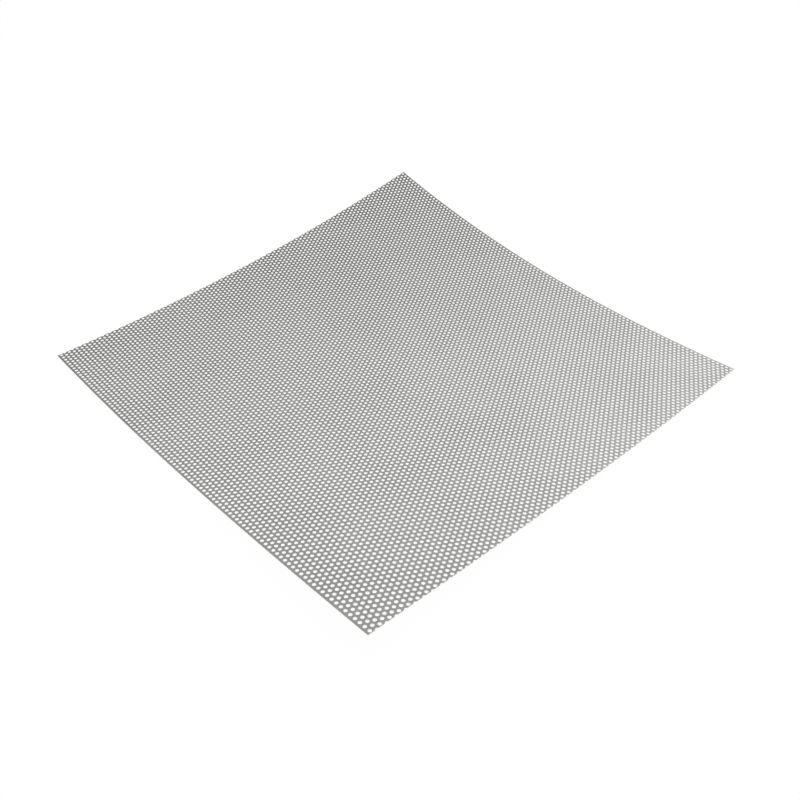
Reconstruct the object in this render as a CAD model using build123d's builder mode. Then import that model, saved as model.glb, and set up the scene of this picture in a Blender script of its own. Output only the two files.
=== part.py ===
from build123d import *

import math
import os

# ---- driving dimensions, in millimetres and degrees ----
THICKNESS = 0.5            # sheet thickness
HOLE_DIAMETER = 3.0        # punched round hole
PITCH = 5.0                # hole centre to hole centre
SLANT = 60                 # angle between the rows and the slanted lines of holes
ROWS = 115                 # rows of holes
LENGTH = 499.5             # sheet size along the rows
WIDTH = 500.1              # sheet size across the rows
NEAR_TRIM = 2.1            # near cut end to the first full hole centres
FRONT_MARGIN = 3.5         # front edge to the hole centres of the first row
BOW_CURVATURE = 1 / 1168   # curvature at the line the sheet rests on, in 1/mm
BOW_GROWTH = 1.743e-6      # growth of that curvature for each mm towards the far corner
BOW_ANGLE = 51.7           # angle from the rows to the line the sheet rests on
MOST_HOLES = 400           # most full holes in one band
SEAM_POINTS = 17           # points on each curve between two lines of holes
OVERHANG = 12              # spare length of a blank that is cut to a corner of the sheet

# ---- derived sizes ----
HOLE_RADIUS = HOLE_DIAMETER / 2
ROW_STEP = PITCH * math.sin(math.radians(SLANT))
SLANT_STEP = 1 / math.tan(math.radians(SLANT))   # X gained by a slanted line for each mm of Y
FIRST_X = LENGTH / 2 - NEAR_TRIM                 # hole at the near end of the first row
FIRST_Y = -WIDTH / 2 + FRONT_MARGIN
CORNERS = [(x, y) for x in (-LENGTH / 2, LENGTH / 2) for y in (-WIDTH / 2, WIDTH / 2)]

RULING = Vector(1, 0, 0).rotate(Axis.Z, BOW_ANGLE)   # the bowed sheet is straight along this
ACROSS = RULING.rotate(Axis.Z, 90)                   # and rises both ways along this
UP = Vector(0, 0, 1)


# ---- the bow ----
def slope(s):
    """Angle of the bow to the floor at arc length s from the resting line, in radians."""
    return BOW_CURVATURE * s + BOW_GROWTH * s**2 / 2


def profile(s, steps=12):
    """Vector from the resting line to the underside at arc length s, by Simpson's rule."""
    plan = lift = 0.0
    for i in range(steps + 1):
        weight = 1 if i in (0, steps) else 2 + 2 * (i % 2)
        plan += weight * math.cos(slope(s * i / steps))
        lift += weight * math.sin(slope(s * i / steps))
    return ACROSS * (plan * s / steps / 3) + UP * (lift * s / steps / 3)


def uphill(s):
    """Direction along the bow at arc length s."""
    return ACROSS * math.cos(slope(s)) + UP * math.sin(slope(s))


def normal(s):
    """Direction square to the sheet at arc length s."""
    return UP * math.cos(slope(s)) - ACROSS * math.sin(slope(s))


def on_sheet(x, y, height=0.0):
    """Point of the bowed sheet at a height over its underside, for a point of the flat sheet."""
    flat = Vector(x, y, 0)
    s = flat.dot(ACROSS)
    return RULING * flat.dot(RULING) + profile(s) + normal(s) * height


def tangent_plane(x, y, height=0.0):
    """Plane lying on the bowed sheet at a point of the flat sheet."""
    s = Vector(x, y, 0).dot(ACROSS)
    return Plane(origin=on_sheet(x, y, height), x_dir=RULING, z_dir=normal(s))


def unbend(point):
    """Slanted line number and height over the underside, for a point of the bowed sheet."""
    s = point.dot(ACROSS)
    for _ in range(4):
        offset = point - RULING * point.dot(RULING) - profile(s)
        s += offset.dot(uphill(s))
    flat = RULING * point.dot(RULING) + ACROSS * s
    return line_at(flat.X, flat.Y), offset.dot(normal(s))


# ---- slanted lines of holes, counted from the near corner ----
def line_at(x, y):
    """Number of the slanted line through a point of the flat sheet."""
    return (FIRST_X - x + (y - FIRST_Y) * SLANT_STEP) / PITCH


def line_x(line, y):
    """Flat-sheet X of a slanted line."""
    return FIRST_X - line * PITCH + (y - FIRST_Y) * SLANT_STEP


def line_y(line, x):
    """Flat-sheet Y of a slanted line."""
    return FIRST_Y + (x - FIRST_X + line * PITCH) / SLANT_STEP


LAST_LINE = math.floor(line_at(-LENGTH / 2, WIDTH / 2))


def hole_centres(line):
    """Flat-sheet centres of a slanted line's full holes, and of the holes a cut end opens."""
    full, opened = [], []
    for row in range(ROWS):
        y = FIRST_Y + row * ROW_STEP
        x = line_x(line, y)
        if abs(x) + HOLE_RADIUS < LENGTH / 2:
            full.append((x, y))
        elif abs(x) - HOLE_RADIUS < LENGTH / 2:
            opened.append((x, y))
    return full, opened


def seam(line, below, above, height):
    """Curve along a slanted line from edge to edge of the sheet, with spare length at its ends."""
    low = max(-WIDTH / 2, line_y(line, -LENGTH / 2)) - below
    high = min(WIDTH / 2, line_y(line, LENGTH / 2)) + above
    turn = math.radians(SLANT - BOW_ANGLE)

    def heading(y):
        s = Vector(line_x(line, y), y, 0).dot(ACROSS)
        shrink = 1 - height * (BOW_CURVATURE + BOW_GROWTH * s)
        return RULING * math.cos(turn) + uphill(s) * math.sin(turn) * shrink

    stations = [low + (high - low) * i / (SEAM_POINTS - 1) for i in range(SEAM_POINTS)]
    with BuildLine() as curve:
        Spline(
            *[on_sheet(line_x(line, y), y, height) for y in stations],
            tangents=(heading(low), heading(high)),
        )
    return curve.edges()[0]


# ---- strips, each as wide as one slanted line of holes ----
def blank_faces(near, far, below, above):
    """Faces of a plain strip between two seams: under, far side, upper, near side, two ends."""
    borders = ((near, 0), (far, 0), (far, THICKNESS), (near, THICKNESS))
    rails = [seam(line, below, above, height) for line, height in borders]
    faces = [Face.make_surface_from_curves(rails[i], rails[i - 3]) for i in range(4)]
    for end in (0, 1):
        posts = [rail @ end for rail in rails]
        lower, upper = Edge.make_line(posts[0], posts[1]), Edge.make_line(posts[3], posts[2])
        faces.append(Face.make_surface_from_curves(lower, upper))
    return faces


def edge_plane(x, y, corner):
    """Plane through the sheet's edge from a flat-sheet point to a corner, facing outwards."""
    foot, top = on_sheet(x, y), on_sheet(x, y, THICKNESS)
    along = on_sheet(*corner) - foot
    out = along.cross(top - foot)
    return Plane(origin=foot, x_dir=along, z_dir=out if out.dot(foot) > 0 else -out)


def corner_planes(near, far, corner):
    """Planes of the two edges that meet at a corner, from the ends of a strip's borders."""
    x, y = corner
    spots = [(x, line_y(line, x)) for line in (near, far)]
    spots += [(line_x(line, y), y) for line in (near, far)]
    inside = [spot for spot in spots if abs(spot[0]) <= LENGTH / 2 and abs(spot[1]) <= WIDTH / 2]
    return [edge_plane(*spot, corner) for spot in inside]


def cut_strip(faces, corner_cuts, opened):
    """Faces of a plain strip after its corner of the sheet is cut out and holes are opened."""
    with BuildPart() as strip:
        add(Solid(Shell(faces)))
        for plane in corner_cuts:
            with Locations(plane):
                Box(
                    8 * OVERHANG, 8 * OVERHANG, 4 * OVERHANG,
                    align=(Align.CENTER, Align.CENTER, Align.MIN), mode=Mode.SUBTRACT,
                )
        if opened:
            with Locations([tangent_plane(x, y, THICKNESS / 2) for x, y in opened]):
                Cylinder(HOLE_RADIUS, 6 * THICKNESS, mode=Mode.SUBTRACT)
    return list(strip.faces())


def strip_faces(line):
    """Faces of one strip by name: under, upper, near, far, and edge for those of the sheet."""
    near = line - 0.5 if line else -1
    far = line + 0.5 if line < LAST_LINE else line + 1
    corners = [corner for corner in CORNERS if near < line_at(*corner) < far]
    opened = hole_centres(line)[1]
    below = OVERHANG if any(min(corner) < 0 for corner in corners) else 0
    above = OVERHANG if any(max(corner) > 0 for corner in corners) else 0
    faces = blank_faces(near, far, below, above)
    if corners or opened:
        cuts = [plane for corner in corners for plane in corner_planes(near, far, corner)]
        faces = cut_strip(faces, cuts, opened)
    named = {"under": [], "upper": [], "near": [], "far": [], "edge": []}
    for face in faces:
        spots = [unbend(Vector(*vertex)) for vertex in face.vertices()]
        lines, heights = zip(*spots)
        tests = {
            "under": max(heights) < THICKNESS / 4,
            "upper": min(heights) > 3 * THICKNESS / 4,
            "near": max(lines) < near + 0.1,
            "far": min(lines) > far - 0.1,
        }
        name = next((key for key, passed in tests.items() if passed), "edge")
        named[name].append(face)
    return named


# ---- bands of strips, punched ----
def band_solid(lines):
    """Punched solid of neighbouring strips."""
    faces = []
    for line in lines:
        named = strip_faces(line)
        planes = [tangent_plane(x, y) for x, y in hole_centres(line)[0]]
        for name, height in (("under", 0), ("upper", THICKNESS)):
            rings = [Wire([Edge.make_circle(HOLE_RADIUS, plane.offset(height))]) for plane in planes]
            faces += [skin.make_holes(rings) for skin in named[name]]
        walls = [Solid.make_cylinder(HOLE_RADIUS, THICKNESS, plane) for plane in planes]
        faces += [wall.faces().filter_by(GeomType.CYLINDER)[0] for wall in walls]
        faces += named["edge"]
        faces += named["near"] if line == lines[0] else []
        faces += named["far"] if line == lines[-1] else []
    return Solid(Shell(faces))


def band_lines():
    """Slanted lines of each band: as many as keep it at no more than MOST_HOLES full holes."""
    bands, count = [[]], 0
    for line in range(LAST_LINE + 1):
        holes = len(hole_centres(line)[0])
        if count + holes > MOST_HOLES:
            bands.append([])
            count = 0
        bands[-1].append(line)
        count += holes
    return bands


os.makedirs("parts", exist_ok=True)
for number, lines in enumerate(band_lines(), start=1):
    with BuildPart() as piece:
        add(band_solid(lines), clean=False)
    piece.part.label = f"band_{number:02d}"
    export_step(piece.part, f"parts/band_{number:02d}.step", write_pcurves=False)
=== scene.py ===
import math

import bpy
from bpy.props import FloatProperty, FloatVectorProperty, PointerProperty
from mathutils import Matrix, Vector


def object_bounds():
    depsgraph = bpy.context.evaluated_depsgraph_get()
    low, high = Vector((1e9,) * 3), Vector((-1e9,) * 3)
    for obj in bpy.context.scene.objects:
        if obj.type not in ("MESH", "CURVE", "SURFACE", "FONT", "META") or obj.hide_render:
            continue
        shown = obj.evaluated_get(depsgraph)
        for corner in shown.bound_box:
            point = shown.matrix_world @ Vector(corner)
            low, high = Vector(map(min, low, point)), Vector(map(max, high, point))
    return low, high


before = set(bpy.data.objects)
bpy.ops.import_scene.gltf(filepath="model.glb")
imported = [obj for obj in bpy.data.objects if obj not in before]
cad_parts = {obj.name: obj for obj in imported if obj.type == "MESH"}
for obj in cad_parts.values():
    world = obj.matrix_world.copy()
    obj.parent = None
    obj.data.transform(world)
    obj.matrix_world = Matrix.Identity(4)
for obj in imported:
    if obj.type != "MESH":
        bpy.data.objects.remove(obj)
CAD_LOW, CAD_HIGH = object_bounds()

bl_info = {
    "name": "Punched Sheet",
    "version": (1, 0, 0),
    "blender": (4, 5, 0),
    "location": "View3D > Sidebar > Punched Sheet",
    "description": "Finishes a bowed sheet of punched metal and sets it on a pale studio floor",
    "category": "Add Mesh",
}

# A face whose unit normal has less height than this is a hole's wall or a cut edge, and no skin has.
STEEPEST_SKIN = 0.75
# Rays that the rounding of a rim is averaged over.
RIM_SAMPLES = 6
# Cosine of the turn of the normal where a rim's painted highlight begins, and where it is full.
RIM_HIGHLIGHT_START, RIM_HIGHLIGHT_FULL = 0.99, 0.8

# Noise values where a streak or a patch begins, and where it is full.
STREAK_START, STREAK_FULL = 0.3, 0.7
PATCH_START, PATCH_FULL = 0.38, 0.68
# Share of the dull colour in the dullest rolling streak, and what a streak adds to or takes from roughness.
STREAK_DULLING = 0.35
STREAK_ROUGHNESS = 0.06
# Depth of the rolling streaks in metres, and how strongly the light shows them.
STREAK_DEPTH = 0.00002
STREAK_STRENGTH = 0.15

# Large soft lamps: side of the square and place from the middle of the sheet, in metres.
WINDOW_LAMP_SIZE, WINDOW_LAMP_PLACE = 1.6, (0.6, 2.2, 0.9)
FILL_LAMP_SIZE, FILL_LAMP_PLACE = 3.0, (0.0, 0.0, 2.6)
FLOOR_COLOUR = (0.9, 0.9, 0.9, 1.0)
WHITE = (1.0, 1.0, 1.0, 1.0)


class SheetFinish(bpy.types.PropertyGroup):
    """Colours and finish of the rolled and punched metal."""

    metal_colour: FloatVectorProperty(
        name="Metal colour",
        description="Colour of the satin rolled skin",
        subtype="COLOR", size=3, min=0.0, max=1.0, default=(0.600, 0.603, 0.583),
    )
    dull_colour: FloatVectorProperty(
        name="Dull colour",
        description="Colour of the faintly oxidised, handled patches",
        subtype="COLOR", size=3, min=0.0, max=1.0, default=(0.535, 0.538, 0.519),
    )
    # Partly the bright sheared metal of the hole walls and cut edges, and partly painted light: the light
    # these walls catch, and a painted highlight on the rims of the holes.
    sheared_and_painted_light_colour: FloatVectorProperty(
        name="Sheared colour",
        description="Colour of the bright metal in the hole walls and the cut edges",
        subtype="COLOR", size=3, min=0.0, max=1.0, default=(0.92, 0.92, 0.905),
    )
    skin_roughness: FloatProperty(
        name="Skin roughness",
        description="Mean roughness of the rolled skin",
        subtype="FACTOR", min=0.0, max=1.0, default=0.42,
    )
    sheared_roughness: FloatProperty(
        name="Sheared roughness",
        description="Roughness of the hole walls and the cut edges",
        subtype="FACTOR", min=0.0, max=1.0, default=0.34,
    )
    rim_radius: FloatProperty(
        name="Rim radius",
        description="Rounding that the punch leaves at the rims of the holes",
        subtype="DISTANCE", unit="LENGTH", min=0.0, max=0.001, default=0.00028,
    )
    streak_width: FloatProperty(
        name="Streak width",
        description="Width of one rolling streak",
        subtype="DISTANCE", unit="LENGTH", min=0.0001, max=0.01, default=0.0008,
    )
    streak_length: FloatProperty(
        name="Streak length",
        description="Length of one rolling streak",
        subtype="DISTANCE", unit="LENGTH", min=0.001, max=1.0, default=0.06,
    )
    patch_size: FloatProperty(
        name="Patch size",
        description="Size of the handled and oxidised patches",
        subtype="DISTANCE", unit="LENGTH", min=0.005, max=1.0, default=0.09,
    )


class StudioSetup(bpy.types.PropertyGroup):
    """Floor, lamps and camera of the studio."""

    floor_size: FloatProperty(
        name="Floor size",
        description="Side of the square floor",
        subtype="DISTANCE", unit="LENGTH", min=1.0, max=100.0, default=30.0,
    )
    floor_glow: FloatProperty(
        name="Floor glow",
        description="Share of the floor's look that is its own white, the rest being lit and shadowed",
        subtype="FACTOR", min=0.0, max=1.0, default=0.965,
    )
    wall_level: FloatProperty(
        name="Wall level",
        description="Brightness of the room's pale walls at floor height",
        min=0.0, max=4.0, default=1.49,
    )
    ceiling_drop: FloatProperty(
        name="Ceiling drop",
        description="How much darker the room is straight overhead than at floor height",
        min=0.0, max=4.0, default=1.357,
    )
    window_lift: FloatProperty(
        name="Window lift",
        description="How much brighter the room is towards its window side",
        min=0.0, max=2.0, default=0.5525,
    )
    window_bearing: FloatProperty(
        name="Window bearing",
        description="Bearing of the room's window side, from +X towards +Y",
        subtype="ANGLE", unit="ROTATION", default=math.radians(48.4),
    )
    window_power: FloatProperty(
        name="Window power",
        description="Power of the large soft lamp beyond the back edge",
        subtype="POWER", unit="POWER", min=0.0, max=1000.0, default=10.0,
    )
    fill_power: FloatProperty(
        name="Fill power",
        description="Power of the overhead soft lamp that lights the floor",
        subtype="POWER", unit="POWER", min=0.0, max=1000.0, default=75.0,
    )
    camera_azimuth: FloatProperty(
        name="Camera azimuth",
        description="Bearing of the camera round the sheet, from the front edge towards the near corner",
        subtype="ANGLE", unit="ROTATION", default=math.radians(46.94),
    )
    camera_elevation: FloatProperty(
        name="Camera elevation",
        description="Height of the camera over the floor as an angle",
        subtype="ANGLE", unit="ROTATION", default=math.radians(39.34),
    )
    camera_distance: FloatProperty(
        name="Camera distance",
        description="Distance from the camera to the point it looks at",
        subtype="DISTANCE", unit="LENGTH", min=0.1, max=20.0, default=0.7022,
    )
    camera_aim: FloatVectorProperty(
        name="Camera aim",
        description="Point on the sheet that the camera looks at",
        subtype="TRANSLATION", unit="LENGTH", size=3, default=(0.0678, -0.0519, 0.020),
    )
    camera_lens: FloatProperty(
        name="Camera lens",
        description="Focal length of the lens in millimetres, on a 36 mm wide sensor",
        min=10.0, max=300.0, default=33.63,
    )


def wire(tree, source, target):
    """Link one socket to another."""
    tree.links.new(source, target)


def maths(tree, operation, first, second=0.0):
    """Result of a math node on two sockets or numbers."""
    node = tree.nodes.new("ShaderNodeMath")
    node.operation = operation
    for socket, value in zip(node.inputs, (first, second)):
        if isinstance(value, bpy.types.NodeSocket):
            wire(tree, value, socket)
        else:
            socket.default_value = value
    return node.outputs[0]


def ramp(tree, value, start, full, low=0.0, high=1.0):
    """Value that runs from low to high while the given one runs from start to full."""
    node = tree.nodes.new("ShaderNodeMapRange")
    wire(tree, value, node.inputs["Value"])
    node.inputs["From Min"].default_value = start
    node.inputs["From Max"].default_value = full
    node.inputs["To Min"].default_value = low
    node.inputs["To Max"].default_value = high
    return node


def new_group(name, inputs, outputs):
    """Empty shader group with float inputs, and outputs of the given kinds."""
    tree = bpy.data.node_groups.new(name, "ShaderNodeTree")
    for label in inputs:
        tree.interface.new_socket(name=label, in_out="INPUT", socket_type="NodeSocketFloat")
    for label, kind in outputs:
        tree.interface.new_socket(name=label, in_out="OUTPUT", socket_type=kind)
    return tree, tree.nodes.new("NodeGroupInput"), tree.nodes.new("NodeGroupOutput")


def rolled_grain_group():
    """Fine streaks that the mill rolls leave along X."""
    tree, given, result = new_group(
        "Rolled grain",
        ["Streak Width", "Streak Length"],
        [("Mask", "NodeSocketFloat"), ("Height", "NodeSocketFloat")],
    )
    place = tree.nodes.new("ShaderNodeTexCoord")
    stretch = tree.nodes.new("ShaderNodeCombineXYZ")
    along = maths(tree, "DIVIDE", 1.0, given.outputs["Streak Length"])
    across = maths(tree, "DIVIDE", 1.0, given.outputs["Streak Width"])
    wire(tree, along, stretch.inputs["X"])
    wire(tree, across, stretch.inputs["Y"])
    wire(tree, across, stretch.inputs["Z"])
    scaled = tree.nodes.new("ShaderNodeVectorMath")
    scaled.operation = "MULTIPLY"
    wire(tree, place.outputs["Object"], scaled.inputs[0])
    wire(tree, stretch.outputs[0], scaled.inputs[1])
    streaks = tree.nodes.new("ShaderNodeTexNoise")
    streaks.inputs["Scale"].default_value = 1.0
    streaks.inputs["Detail"].default_value = 4.0
    streaks.inputs["Roughness"].default_value = 0.65
    wire(tree, scaled.outputs[0], streaks.inputs["Vector"])
    spread = ramp(tree, streaks.outputs["Fac"], STREAK_START, STREAK_FULL)
    wire(tree, spread.outputs["Result"], result.inputs["Mask"])
    wire(tree, streaks.outputs["Fac"], result.inputs["Height"])
    return tree


def handled_patches_group():
    """Broad soft patches of handling and light oxide."""
    tree, given, result = new_group(
        "Handled patches", ["Patch Size"], [("Mask", "NodeSocketFloat")]
    )
    place = tree.nodes.new("ShaderNodeTexCoord")
    broad = tree.nodes.new("ShaderNodeTexNoise")
    broad.inputs["Detail"].default_value = 3.0
    broad.inputs["Roughness"].default_value = 0.55
    broad.inputs["Distortion"].default_value = 0.4
    wire(tree, maths(tree, "DIVIDE", 1.0, given.outputs["Patch Size"]), broad.inputs["Scale"])
    wire(tree, place.outputs["Object"], broad.inputs["Vector"])
    soften = ramp(tree, broad.outputs["Fac"], PATCH_START, PATCH_FULL)
    soften.interpolation_type = "SMOOTHSTEP"
    wire(tree, soften.outputs["Result"], result.inputs["Mask"])
    return tree


def sheared_wall_group():
    """Mask of the faces that stand square to the skin: hole walls and cut edges."""
    tree, given, result = new_group(
        "Sheared walls", ["Steepest Skin"], [("Mask", "NodeSocketFloat")]
    )
    facing = tree.nodes.new("ShaderNodeNewGeometry")
    parts = tree.nodes.new("ShaderNodeSeparateXYZ")
    wire(tree, facing.outputs["True Normal"], parts.inputs[0])
    rise = maths(tree, "ABSOLUTE", parts.outputs["Z"])
    upright = maths(tree, "LESS_THAN", rise, given.outputs["Steepest Skin"])
    wire(tree, upright, result.inputs["Mask"])
    return tree


def rounded_rim_and_highlight_group():
    """Normals that round the rims of the holes and the cut edges, and a mask of what they round, where the
    rims get a painted highlight.
    """
    tree, given, result = new_group(
        "Rounded rims",
        ["Rim Radius"],
        [("Normal", "NodeSocketVector"), ("Mask", "NodeSocketFloat")],
    )
    bevel = tree.nodes.new("ShaderNodeBevel")
    bevel.samples = RIM_SAMPLES
    facing = tree.nodes.new("ShaderNodeNewGeometry")
    lean = tree.nodes.new("ShaderNodeVectorMath")
    lean.operation = "DOT_PRODUCT"
    wire(tree, given.outputs["Rim Radius"], bevel.inputs["Radius"])
    wire(tree, bevel.outputs["Normal"], lean.inputs[0])
    wire(tree, facing.outputs["Normal"], lean.inputs[1])
    # Where the rounded normal leans away from the face's own, the rim gets a painted highlight in the sheared
    # colour.
    turned = ramp(tree, lean.outputs["Value"], RIM_HIGHLIGHT_START, RIM_HIGHLIGHT_FULL)
    wire(tree, bevel.outputs["Normal"], result.inputs["Normal"])
    wire(tree, turned.outputs["Result"], result.inputs["Mask"])
    return tree


def placed(tree, group, values):
    """Node that places a shader group, with values for its inputs."""
    node = tree.nodes.new("ShaderNodeGroup")
    node.node_tree = group
    for label, value in values.items():
        node.inputs[label].default_value = value
    return node


def blend_colour(tree, mask, first, second):
    """Colour that runs from the first to the second with the mask."""
    node = tree.nodes.new("ShaderNodeMix")
    node.data_type = "RGBA"
    wire(tree, mask, node.inputs["Factor"])
    for socket, value in ((node.inputs["A"], first), (node.inputs["B"], second)):
        if isinstance(value, bpy.types.NodeSocket):
            wire(tree, value, socket)
        else:
            socket.default_value = (*value, 1.0)
    return node.outputs["Result"]


def punched_metal(finish):
    """Material of the rolled skin, with bright walls in the holes and along the edges, partly their own
    sheared metal and partly painted light, and a painted highlight on the rims of the holes.
    """
    material = bpy.data.materials.new("punched_metal")
    material.use_nodes = True
    tree = material.node_tree
    tree.nodes.clear()
    shader = tree.nodes.new("ShaderNodeBsdfPrincipled")
    output = tree.nodes.new("ShaderNodeOutputMaterial")
    wire(tree, shader.outputs["BSDF"], output.inputs["Surface"])
    shader.inputs["Metallic"].default_value = 1.0

    grain = placed(
        tree,
        rolled_grain_group(),
        {"Streak Width": finish.streak_width, "Streak Length": finish.streak_length},
    )
    patches = placed(tree, handled_patches_group(), {"Patch Size": finish.patch_size})
    walls = placed(tree, sheared_wall_group(), {"Steepest Skin": STEEPEST_SKIN})
    rims = placed(tree, rounded_rim_and_highlight_group(), {"Rim Radius": finish.rim_radius})
    # The hole walls and cut edges take the sheared colour, partly their own sheared metal and partly painted
    # light; the rims take it as a painted highlight.
    bright = maths(tree, "MAXIMUM", walls.outputs["Mask"], rims.outputs["Mask"])

    skin = blend_colour(tree, patches.outputs["Mask"], finish.metal_colour, finish.dull_colour)
    fleck = ramp(tree, grain.outputs["Mask"], 0.0, 1.0, 0.0, STREAK_DULLING)
    streaked = blend_colour(tree, fleck.outputs["Result"], skin, finish.dull_colour)
    colour = blend_colour(tree, bright, streaked, finish.sheared_and_painted_light_colour)
    wire(tree, colour, shader.inputs["Base Color"])

    smooth = finish.skin_roughness - STREAK_ROUGHNESS
    coarse = finish.skin_roughness + STREAK_ROUGHNESS
    skin_rough = ramp(tree, grain.outputs["Mask"], 0.0, 1.0, smooth, coarse)
    rough = tree.nodes.new("ShaderNodeMix")
    wire(tree, walls.outputs["Mask"], rough.inputs["Factor"])
    wire(tree, skin_rough.outputs["Result"], rough.inputs["A"])
    rough.inputs["B"].default_value = finish.sheared_roughness
    wire(tree, rough.outputs["Result"], shader.inputs["Roughness"])

    bump = tree.nodes.new("ShaderNodeBump")
    bump.inputs["Strength"].default_value = STREAK_STRENGTH
    bump.inputs["Distance"].default_value = STREAK_DEPTH
    wire(tree, grain.outputs["Height"], bump.inputs["Height"])
    wire(tree, rims.outputs["Normal"], bump.inputs["Normal"])
    wire(tree, bump.outputs["Normal"], shader.inputs["Normal"])
    return material


class SHEET_OT_finish_bands(bpy.types.Operator):
    """Give the bands of the punched sheet their rolled and sheared metal finish"""

    bl_idname = "punched_sheet.finish_bands"
    bl_label = "Finish the sheet"

    def execute(self, context):
        metal = punched_metal(context.scene.sheet_finish)
        bands = [node for name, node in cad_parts.items() if name.startswith("band")]
        if not bands:
            raise RuntimeError("the frame holds no band of the sheet")
        for band in bands:
            for slot in band.material_slots:
                slot.material = metal
        return {"FINISHED"}


def looked_at(tree, with_gloss):
    """Mask of rays from the camera and through glass, and of mirrored rays if asked."""
    path = tree.nodes.new("ShaderNodeLightPath")
    seen = maths(tree, "MAXIMUM", path.outputs["Is Camera Ray"], path.outputs["Is Transmission Ray"])
    return maths(tree, "MAXIMUM", seen, path.outputs["Is Glossy Ray"]) if with_gloss else seen


def floor_paint(glow):
    """Pale paint that is partly lit and shadowed, and partly its own white for what looks at it."""
    paint = bpy.data.materials.new("studio_floor")
    paint.use_nodes = True
    tree = paint.node_tree
    tree.nodes.clear()
    output = tree.nodes.new("ShaderNodeOutputMaterial")
    lit = tree.nodes.new("ShaderNodeBsdfDiffuse")
    lit.inputs["Color"].default_value = FLOOR_COLOUR
    own = tree.nodes.new("ShaderNodeEmission")
    own.inputs["Color"].default_value = WHITE
    mix = tree.nodes.new("ShaderNodeMixShader")
    wire(tree, maths(tree, "MULTIPLY", looked_at(tree, True), glow), mix.inputs["Fac"])
    wire(tree, lit.outputs[0], mix.inputs[1])
    wire(tree, own.outputs[0], mix.inputs[2])
    wire(tree, mix.outputs[0], output.inputs["Surface"])
    return paint


def lay_floor(setup):
    """Flat pale floor under the sheet."""
    half = setup.floor_size / 2
    mesh = bpy.data.meshes.new("floor")
    corners = [(-half, -half, 0), (half, -half, 0), (half, half, 0), (-half, half, 0)]
    mesh.from_pydata(corners, [], [(0, 1, 2, 3)])
    mesh.materials.append(floor_paint(setup.floor_glow))
    floor = bpy.data.objects.new("floor", mesh)
    bpy.context.scene.collection.objects.link(floor)


def light_room(setup):
    """Pale room: plain light grey where it is looked at, and as light bright at its walls and window side."""
    world = bpy.data.worlds.new("studio_room")
    bpy.context.scene.world = world
    world.use_nodes = True
    tree = world.node_tree
    tree.nodes.clear()
    output = tree.nodes.new("ShaderNodeOutputWorld")
    seen = tree.nodes.new("ShaderNodeBackground")
    seen.inputs["Strength"].default_value = 1.0
    light = tree.nodes.new("ShaderNodeBackground")

    direction = tree.nodes.new("ShaderNodeTexCoord")
    parts = tree.nodes.new("ShaderNodeSeparateXYZ")
    wire(tree, direction.outputs["Generated"], parts.inputs[0])
    sideways = tree.nodes.new("ShaderNodeVectorMath")
    sideways.operation = "DOT_PRODUCT"
    bearing, lift = setup.window_bearing, setup.window_lift
    sideways.inputs[1].default_value = (lift * math.cos(bearing), lift * math.sin(bearing), 0.0)
    wire(tree, direction.outputs["Generated"], sideways.inputs[0])
    height = maths(tree, "MAXIMUM", parts.outputs["Z"], 0.0)
    walls = maths(tree, "ADD", sideways.outputs["Value"], setup.wall_level)
    duller = maths(tree, "MULTIPLY", height, setup.ceiling_drop)
    wire(tree, maths(tree, "SUBTRACT", walls, duller), light.inputs["Strength"])

    mix = tree.nodes.new("ShaderNodeMixShader")
    wire(tree, looked_at(tree, False), mix.inputs["Fac"])
    wire(tree, light.outputs[0], mix.inputs[1])
    wire(tree, seen.outputs[0], mix.inputs[2])
    wire(tree, mix.outputs[0], output.inputs["Surface"])


def hang_lamp(name, power, size, place):
    """Square soft lamp at a place from the sheet's middle, turned to it and never mirrored in it."""
    lamp = bpy.data.lights.new(name, "AREA")
    lamp.energy = power
    lamp.size = size
    stand = bpy.data.objects.new(name, lamp)
    bpy.context.scene.collection.objects.link(stand)
    stand.location = (CAD_LOW + CAD_HIGH) / 2 + Vector(place)
    stand.rotation_euler = (-Vector(place)).to_track_quat("-Z", "Y").to_euler()
    stand.visible_glossy = False


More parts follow.
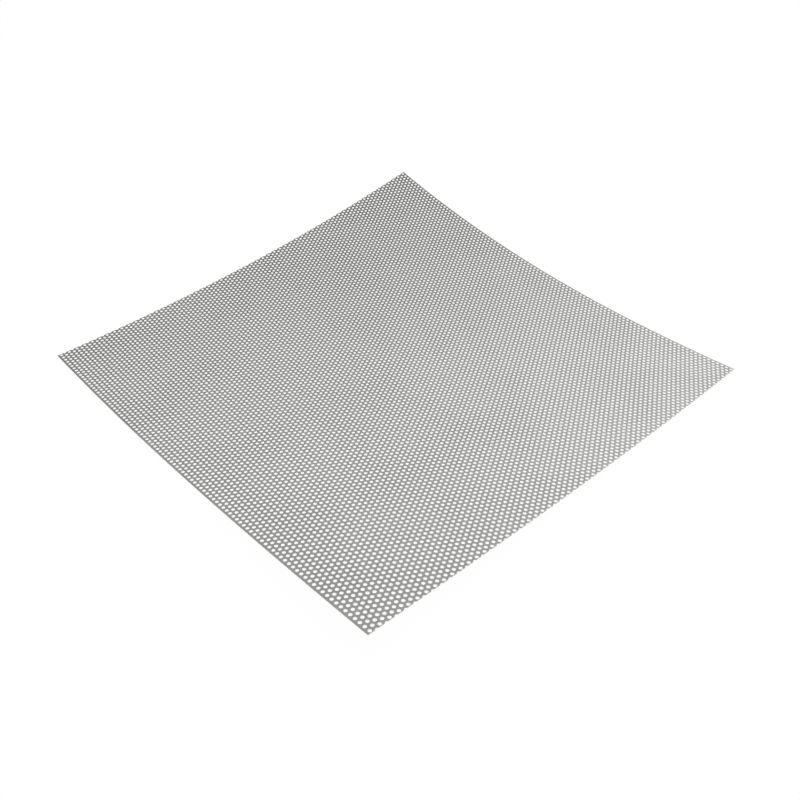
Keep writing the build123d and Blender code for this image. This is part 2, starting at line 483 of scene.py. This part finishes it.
def set_camera(setup):
    """Camera that looks down on the sheet from beyond its near corner."""
    turn, rise = setup.camera_azimuth, setup.camera_elevation
    back = Vector(
        (math.sin(turn) * math.cos(rise), -math.cos(turn) * math.cos(rise), math.sin(rise))
    )
    data = bpy.data.cameras.new("camera")
    data.sensor_width = 36.0
    data.lens = setup.camera_lens
    data.clip_start, data.clip_end = 0.01, 100.0
    camera = bpy.data.objects.new("camera", data)
    bpy.context.scene.collection.objects.link(camera)
    camera.location = Vector(setup.camera_aim) + back * setup.camera_distance
    camera.rotation_euler = (-back).to_track_quat("-Z", "Y").to_euler()
    bpy.context.scene.camera = camera


class SHEET_OT_set_stage(bpy.types.Operator):
    """Lay the pale floor, light the studio and place the camera"""

    bl_idname = "punched_sheet.set_stage"
    bl_label = "Set the stage"

    def execute(self, context):
        setup = context.scene.studio_setup
        lay_floor(setup)
        light_room(setup)
        hang_lamp("window_lamp", setup.window_power, WINDOW_LAMP_SIZE, WINDOW_LAMP_PLACE)
        hang_lamp("fill_lamp", setup.fill_power, FILL_LAMP_SIZE, FILL_LAMP_PLACE)
        set_camera(setup)
        context.scene.view_settings.view_transform = "Standard"
        return {"FINISHED"}


class SHEET_PT_panel(bpy.types.Panel):
    """Steps that finish and stage the punched sheet"""

    bl_label = "Punched Sheet"
    bl_space_type = "VIEW_3D"
    bl_region_type = "UI"
    bl_category = "Punched Sheet"

    def draw(self, context):
        for operator in OPERATORS:
            self.layout.operator(operator.bl_idname)
        for settings in (context.scene.sheet_finish, context.scene.studio_setup):
            box = self.layout.box()
            for name in settings.__annotations__:
                box.prop(settings, name)


OPERATORS = (SHEET_OT_finish_bands, SHEET_OT_set_stage)
CLASSES = (SheetFinish, StudioSetup, *OPERATORS, SHEET_PT_panel)


def register():
    for item in CLASSES:
        bpy.utils.register_class(item)
    bpy.types.Scene.sheet_finish = PointerProperty(type=SheetFinish)
    bpy.types.Scene.studio_setup = PointerProperty(type=StudioSetup)


def unregister():
    del bpy.types.Scene.studio_setup
    del bpy.types.Scene.sheet_finish
    for item in reversed(CLASSES):
        bpy.utils.unregister_class(item)


def main():
    """Finish the sheet and set the stage."""
    register()
    bpy.ops.punched_sheet.finish_bands()
    bpy.ops.punched_sheet.set_stage()


if __name__ == "__main__":
    main()
